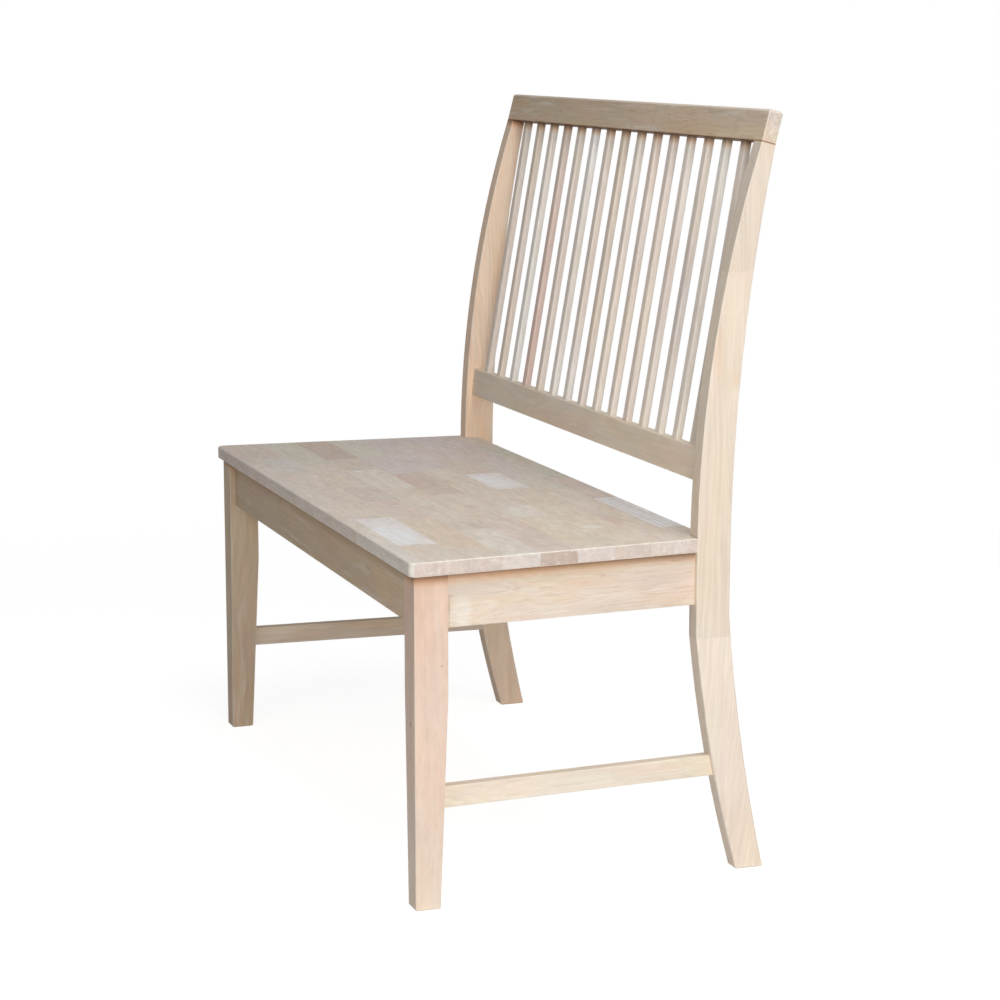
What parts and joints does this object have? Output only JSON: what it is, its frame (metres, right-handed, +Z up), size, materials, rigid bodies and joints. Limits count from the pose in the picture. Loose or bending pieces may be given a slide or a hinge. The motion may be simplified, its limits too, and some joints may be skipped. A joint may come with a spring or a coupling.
{
  "type": "settle",
  "caption": "Bare wooden settle: glued-up plank seat on an apron frame, tapered front legs, curved rear posts, and upright slats between a lower rail and a crest rail.",
  "frame": {"origin": "on the floor under the middle of the bench's bounding box", "axes": "+Z up, -Y towards the sitter's front, +X to the right of someone looking at the bench's front"},
  "size_m": [1.0064, 0.5152, 1.0104],
  "materials": {
    "seat_wood": "sanded, bare",
    "slat_wood": "sanded, bare",
    "leg_wood": "sanded, bare",
    "rail_wood": "sanded, bare",
    "block_wood": "sawn, bare",
    "dowel_wood": "turned, bare",
    "screw_steel": "zinc plated"
  },
  "bodies": {
    "root": {"back_slat_01": "slat_wood", "back_slat_02": "slat_wood", "back_slat_03": "slat_wood", "back_slat_04": "slat_wood", "back_slat_05": "slat_wood", "back_slat_06": "slat_wood", "back_slat_07": "slat_wood", "back_slat_08": "slat_wood", "back_slat_09": "slat_wood", "back_slat_10": "slat_wood", "back_slat_11": "slat_wood", "back_slat_12": "slat_wood", "back_slat_13": "slat_wood", "back_slat_14": "slat_wood", "back_slat_15": "slat_wood", "block_screws": "screw_steel", "brace_screws": "screw_steel", "centre_brace": "block_wood", "crest_dowels": "dowel_wood", "crest_rail": "rail_wood", "front_apron": "rail_wood", "front_corner_block_left": "block_wood", "front_corner_block_right": "block_wood", "front_leg_left": "leg_wood", "front_leg_right": "leg_wood", "lower_back_rail": "rail_wood", "rear_apron": "rail_wood", "rear_corner_block_left": "block_wood", "rear_corner_block_right": "block_wood", "rear_post_left": "leg_wood", "rear_post_right": "leg_wood", "seat_screws": "screw_steel", "seat_stave_01": "seat_wood", "seat_stave_02": "seat_wood", "seat_stave_03": "seat_wood", "seat_stave_04": "seat_wood", "seat_stave_05": "seat_wood", "seat_stave_06": "seat_wood", "seat_stave_07": "seat_wood", "seat_stave_08": "seat_wood", "seat_stave_09": "seat_wood", "side_apron_left": "rail_wood", "side_apron_right": "rail_wood", "side_stretcher_left": "rail_wood", "side_stretcher_right": "rail_wood"}
  },
  "joints": []
}
